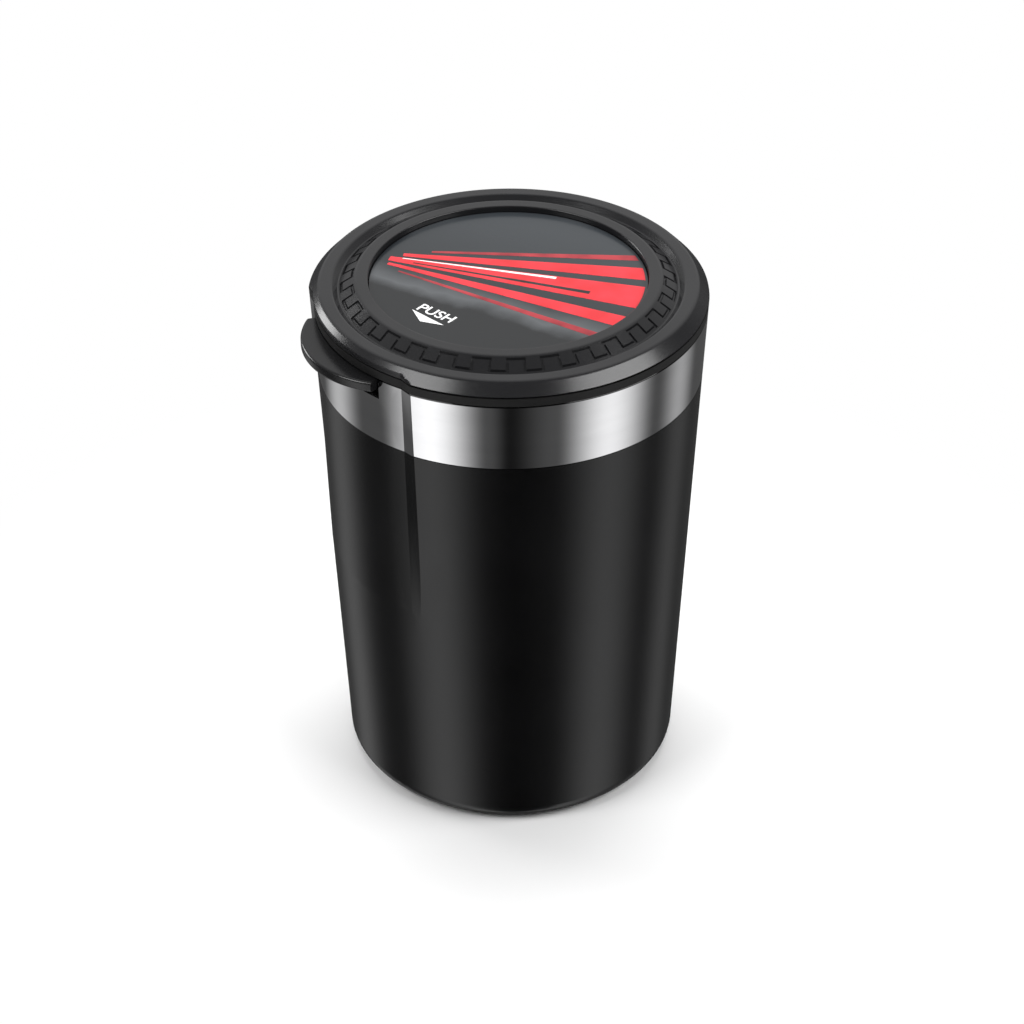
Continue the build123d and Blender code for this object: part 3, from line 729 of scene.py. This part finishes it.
def ink_trail(name, end, start_share, end_share, width, layer, finish):
    """Trail of ink that widens from the vanishing point: a thin lens section carried along the straight
    lines from that point past both sides of the trail's end, from one share of the way to another, and
    stopped where a line meets the edge of the print. Width is at the end and layer is the thickness of
    the ink, both in millimetres."""
    turn = np.linspace(0.0, 2 * math.pi, 32, endpoint=False)
    run = np.array(end) - VANISHING_POINT
    side = np.array([-run[1], run[0]]) / np.hypot(*run)
    ways = run + 0.5 * width * np.cos(turn)[:, None] * side
    size, lean = (ways**2).sum(axis=1), ways @ VANISHING_POINT
    outside = VANISHING_POINT @ VANISHING_POINT - PRINT_EDGE**2
    edge_share = (np.sqrt(lean**2 - size * outside) - lean) / size
    last = np.minimum(end_share, edge_share)
    share = start_share + (last - start_share) * np.linspace(0.0, 1.0, 41)[:, None]
    plan = VANISHING_POINT + share[..., None] * ways
    x, y = plan_point(plan[..., 0] * MILLIMETRE, plan[..., 1] * MILLIMETRE)
    lift = np.broadcast_to(layer * MILLIMETRE * (0.5 + 0.5 * np.sin(turn)), x.shape)
    rings = np.stack([x, y, PRINT_TOP + lift], axis=-1)
    ends = [np.broadcast_to(ring.mean(axis=0), ring.shape)[None] for ring in (rings[0], rings[-1])]
    rings = np.concatenate([ends[0], rings, ends[1]])
    quads = grid_quads(len(rings), len(turn), False, True)
    return lay_mesh(name, rings.reshape(-1, 3), quads, finish, "lid")


# Vanishing point and ends of the trails to the right of and away from the viewer, in millimetres from
# the middle of the print
VANISHING_POINT = np.array([-36.0, 13.0])
ink_trail("ink_trail_deep_red_far", (24.5, 8.5), 0.34, 1.2, 2.0, 0.03, deep_red_ink)
ink_trail("ink_trail_red_far", (26.0, 2.2), 0.24, 1.2, 4.6, 0.04, red_ink)
ink_trail("ink_trail_red_middle", (24.5, -6.6), 0.20, 1.2, 8.2, 0.04, red_ink)
ink_trail("ink_trail_coal", (24.5, -8.0), 0.28, 0.86, 1.5, 0.05, coal_ink)
ink_trail("ink_trail_white", (25.5, -3.6), 0.24, 0.74, 1.1, 0.05, white_ink)
ink_trail("ink_trail_red_near", (20.5, -15.4), 0.21, 1.2, 4.0, 0.04, red_ink)
ink_trail("ink_trail_deep_red_near", (16.0, -20.5), 0.27, 1.2, 1.8, 0.03, deep_red_ink)


def push_word():
    """The word PUSH by the edge of the print, laid out flat as a mesh, then placed and turned."""
    letters = bpy.data.curves.new("push_letters", "FONT")
    letters.body = "PUSH"
    letters.offset = 0.012
    letters.extrude = 0.004
    stand = bpy.data.objects.new("push_letters", letters)
    bpy.context.scene.collection.objects.link(stand)
    bpy.context.view_layer.update()
    mesh = bpy.data.meshes.new_from_object(stand.evaluated_get(bpy.context.evaluated_depsgraph_get()))
    bpy.data.objects.remove(stand)
    flat = np.zeros(len(mesh.vertices) * 3, np.float32)
    mesh.vertices.foreach_get("co", flat)
    flat = flat.reshape(-1, 3).astype(float)
    low, high = flat.min(axis=0), flat.max(axis=0)
    share = (flat - low) / (high - low)
    start, end, height = np.array([-18.14, -10.92]), np.array([-11.61, -16.23]), 2.6
    run = (end - start) / np.linalg.norm(end - start)
    up = np.array([-run[1], run[0]])
    plan = start + share[:, :1] * (end - start) + share[:, 1:2] * height * up
    x, y = plan_point(plan[:, 0] * MILLIMETRE, plan[:, 1] * MILLIMETRE)
    z = PRINT_TOP + share[:, 2] * INK_THICKNESS
    mesh.vertices.foreach_set("co", np.stack([x, y, z], axis=1).astype(np.float32).ravel())
    mesh.update()
    mesh.materials.clear()
    mesh.materials.append(white_ink)
    piece = bpy.data.objects.new("push_word", mesh)
    bpy.context.scene.collection.objects.link(piece)
    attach(piece, "lid")


def push_arrow():
    """White arrow under the word: a three-sided prism, its corners and middle at two heights."""
    corners = np.array([[-18.84, -11.06], [-17.26, -15.49], [-12.59, -17.12]])
    x, y = plan_point(corners[:, 0] * MILLIMETRE, corners[:, 1] * MILLIMETRE)
    low = np.stack([x, y, np.full(3, PRINT_TOP)], axis=1)
    high = low + np.array([0.0, 0.0, INK_THICKNESS])
    points = np.vstack([low, high, low.mean(axis=0), high.mean(axis=0)])
    mesh = bpy.data.meshes.new("push_arrow")
    faces = [(0, 1, 4, 3), (1, 2, 5, 4), (2, 0, 3, 5)]
    caps = [(3, 4, 7), (4, 5, 7), (5, 3, 7), (1, 0, 6), (2, 1, 6), (0, 2, 6)]
    mesh.from_pydata(points.tolist(), [], faces + caps)
    mesh.update()
    mesh.materials.append(white_ink)
    piece = bpy.data.objects.new("push_arrow", mesh)
    bpy.context.scene.collection.objects.link(piece)
    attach(piece, "lid")


push_word()
push_arrow()


# Studio: floor, lights and camera

# Distances from the axis within which the floor's shadow is whole, and beyond which it is gone
SHADOW_FULL = 0.04
SHADOW_END = 0.15

# Height at which the lights are aimed
LIGHT_AIM = 0.06


def view_direction(turn, lift):
    """Unit vector from the ashtray, turned round from the viewer to the right and lifted, in degrees."""
    round_turn = math.radians(VIEW_TURN + turn)
    rise = math.radians(lift)
    return Vector(
        (math.sin(round_turn) * math.cos(rise), -math.cos(round_turn) * math.cos(rise), math.sin(rise))
    )


def floor_sheet():
    """Pale floor: one large flat sheet just under the base. To the camera it turns to plain white with
    the distance from the axis, and keeps the shadow close to the ashtray. Gloss doesn't see it."""
    half, low = 3.0, -0.0002
    corners = [(-half, -half, low), (half, -half, low), (half, half, low), (-half, half, low)]
    mesh = bpy.data.meshes.new("studio_floor")
    mesh.from_pydata(corners, [], [(0, 1, 2, 3)])
    finish = bpy.data.materials.new("floor_white")
    finish.use_nodes = True
    nodes = finish.node_tree.nodes
    shader = nodes["Principled BSDF"]
    shader.inputs["Base Color"].default_value = (0.93, 0.93, 0.93, 1.0)
    shader.inputs["Roughness"].default_value = 0.9
    shader.inputs["Specular IOR Level"].default_value = 0.0
    place = nodes.new("ShaderNodeTexCoord").outputs["Object"]
    away = nodes.new("ShaderNodeVectorMath")
    away.operation = "LENGTH"
    join(finish, place, away.inputs[0])
    far = nodes.new("ShaderNodeMapRange")
    far.interpolation_type = "SMOOTHSTEP"
    far.inputs["From Min"].default_value = SHADOW_FULL
    far.inputs["From Max"].default_value = SHADOW_END
    join(finish, away.outputs["Value"], far.inputs["Value"])
    plain = nodes.new("ShaderNodeMath")
    plain.operation = "MULTIPLY"
    join(finish, far.outputs["Result"], plain.inputs[0])
    join(finish, nodes.new("ShaderNodeLightPath").outputs["Is Camera Ray"], plain.inputs[1])
    white = nodes.new("ShaderNodeEmission")
    white.inputs["Color"].default_value = (1.0, 1.0, 1.0, 1.0)
    either = nodes.new("ShaderNodeMixShader")
    join(finish, plain.outputs["Value"], either.inputs["Fac"])
    join(finish, shader.outputs["BSDF"], either.inputs[1])
    join(finish, white.outputs["Emission"], either.inputs[2])
    join(finish, either.outputs["Shader"], nodes["Material Output"].inputs["Surface"])
    mesh.materials.append(finish)
    sheet = bpy.data.objects.new("studio_floor", mesh)
    bpy.context.scene.collection.objects.link(sheet)
    sheet.visible_glossy = False


floor_sheet()


def soft_light(name, turn, lift, distance, width, height, power, mirrored=True):
    """Rectangular soft light aimed at the ashtray, seen in gloss unless it is only a fill."""
    lamp = bpy.data.lights.new(name, "AREA")
    lamp.shape = "RECTANGLE"
    lamp.size = width
    lamp.size_y = height
    lamp.energy = power
    stand = bpy.data.objects.new(name, lamp)
    way = view_direction(turn, lift)
    stand.location = Vector((0, 0, LIGHT_AIM)) + way * distance
    stand.rotation_euler = way.to_track_quat("Z", "Y").to_euler()
    stand.visible_glossy = mirrored
    bpy.context.scene.collection.objects.link(stand)


soft_light("left_softbox", turn=-58, lift=44, distance=0.9, width=0.4, height=0.4, power=3.4)
soft_light("right_softbox", turn=68, lift=42, distance=0.9, width=0.65, height=0.4, power=5.4)
soft_light("left_rear_softbox", turn=-122, lift=17, distance=0.9, width=0.3, height=0.3, power=2.4)
soft_light(
    "top_fill", turn=180, lift=70, distance=1.1, width=0.9, height=0.6, power=8.0, mirrored=False
)


# Low panels round the ashtray that its upright walls mirror: turn of the middle from the viewer, to the
# right, and half the width, both in degrees, and the brightness
LOW_PANELS = {
    "left_rear": (-126, 26, 0.55),
    "left": (-49, 36, 1.35),
    "right": (63, 35, 1.10),
    "right_rear": (121, 22, 0.40),
}
# Brightness of the dark gaps between the panels, and of the darkest one, towards the viewer
SIDE_GAP = 0.08
FRONT_GAP = 0.01
BRIGHTEST_PANEL = max(bright for middle, half, bright in LOW_PANELS.values())

# High panel behind the ashtray: its lift in degrees, the cosines from its middle at its edge and where it is
# at its brightest, and the brightness outside it and there
HIGH_LIFT = 40.0
HIGH_EDGE = 0.5
HIGH_MIDDLE = 0.97
HIGH_DIM = 0.12
HIGH_BRIGHT = 0.74

# Height on the unit sphere where the low panels start to give way to the high part, and where they end
LOW_FADE = -0.12
LOW_END = 0.08


def studio_surround():
    """Surround far from the ashtray. Low down it is a ring of panels, bright or dark by the turn from
    the viewer. Higher up it is dim, with one large soft panel behind the ashtray, whose brightness
    follows the cosine of the angle from its middle. To the camera all of it is white."""
    world = bpy.data.worlds.new("studio_surround")
    bpy.context.scene.world = world
    world.use_nodes = True
    nodes, links = world.node_tree.nodes, world.node_tree.links
    way = nodes.new("ShaderNodeTexCoord").outputs["Generated"]

    turned = nodes.new("ShaderNodeMapping")
    turned.inputs["Rotation"].default_value = (0.0, 0.0, math.radians(90.0 - VIEW_TURN))
    links.new(way, turned.inputs["Vector"])
    ring = nodes.new("ShaderNodeTexGradient")
    ring.gradient_type = "RADIAL"
    links.new(turned.outputs["Vector"], ring.inputs["Vector"])
    panels = nodes.new("ShaderNodeValToRGB")
    panels.color_ramp.interpolation = "EASE"
    elements = panels.color_ramp.elements
    stops = [(-180, SIDE_GAP), (0, FRONT_GAP), (180, SIDE_GAP)]
    for middle, half, bright in LOW_PANELS.values():
        stops += [(middle - half, SIDE_GAP), (middle, bright), (middle + half, SIDE_GAP)]
    while len(elements) < len(stops):
        elements.new(0.5)
    for element, (turn, bright) in zip(elements, sorted(stops)):
        element.position = turn / 360.0 + 0.5
        shade = bright / BRIGHTEST_PANEL
        element.color = (shade, shade, shade, 1.0)
    links.new(ring.outputs["Fac"], panels.inputs["Fac"])
    low = nodes.new("ShaderNodeMath")
    low.operation = "MULTIPLY"
    low.inputs[1].default_value = BRIGHTEST_PANEL
    links.new(panels.outputs["Color"], low.inputs[0])

    behind = nodes.new("ShaderNodeVectorMath")
    behind.operation = "DOT_PRODUCT"
    behind.inputs[1].default_value = view_direction(180.0, HIGH_LIFT)
    links.new(way, behind.inputs[0])
    high = nodes.new("ShaderNodeMapRange")
    high.interpolation_type = "SMOOTHSTEP"
    high.inputs["From Min"].default_value = HIGH_EDGE
    high.inputs["From Max"].default_value = HIGH_MIDDLE
    high.inputs["To Min"].default_value = HIGH_DIM
    high.inputs["To Max"].default_value = HIGH_BRIGHT
    links.new(behind.outputs["Value"], high.inputs["Value"])

    parts = nodes.new("ShaderNodeSeparateXYZ")
    links.new(way, parts.inputs["Vector"])
    split = nodes.new("ShaderNodeMapRange")
    split.interpolation_type = "SMOOTHSTEP"
    split.inputs["From Min"].default_value = LOW_FADE
    split.inputs["From Max"].default_value = LOW_END
    links.new(parts.outputs["Z"], split.inputs["Value"])
    level = nodes.new("ShaderNodeMix")
    links.new(split.outputs["Result"], level.inputs["Factor"])
    links.new(low.outputs["Value"], level.inputs["A"])
    links.new(high.outputs["Result"], level.inputs["B"])
    seen = nodes.new("ShaderNodeMath")
    seen.operation = "MAXIMUM"
    links.new(level.outputs["Result"], seen.inputs[0])
    links.new(nodes.new("ShaderNodeLightPath").outputs["Is Camera Ray"], seen.inputs[1])
    links.new(seen.outputs["Value"], nodes["Background"].inputs["Strength"])
    nodes["Background"].inputs["Color"].default_value = (1.0, 1.0, 1.0, 1.0)


studio_surround()

# Camera of the view: distance and height of the point it is aimed at, in metres, and roll in radians
CAMERA_DISTANCE = 0.6205
CAMERA_AIM = 0.0552
CAMERA_ROLL = -0.0066

camera = bpy.data.cameras.new("photo_camera")
camera.sensor_width = 36.0
camera.lens = 104.13
camera.shift_x = 0.002
camera.clip_start = 0.05
camera.clip_end = 20.0
stand = bpy.data.objects.new("photo_camera", camera)
back = view_direction(0, VIEW_LIFT)
aim = Vector((0.0, 0.0, CAMERA_AIM))
upright = back.to_track_quat("Z", "Y").to_matrix().to_4x4()
roll = Matrix.Rotation(CAMERA_ROLL, 4, "Z")
stand.matrix_world = Matrix.Translation(aim + back * CAMERA_DISTANCE) @ upright @ roll
bpy.context.scene.collection.objects.link(stand)
bpy.context.scene.camera = stand
bpy.context.scene.view_settings.view_transform = "Standard"
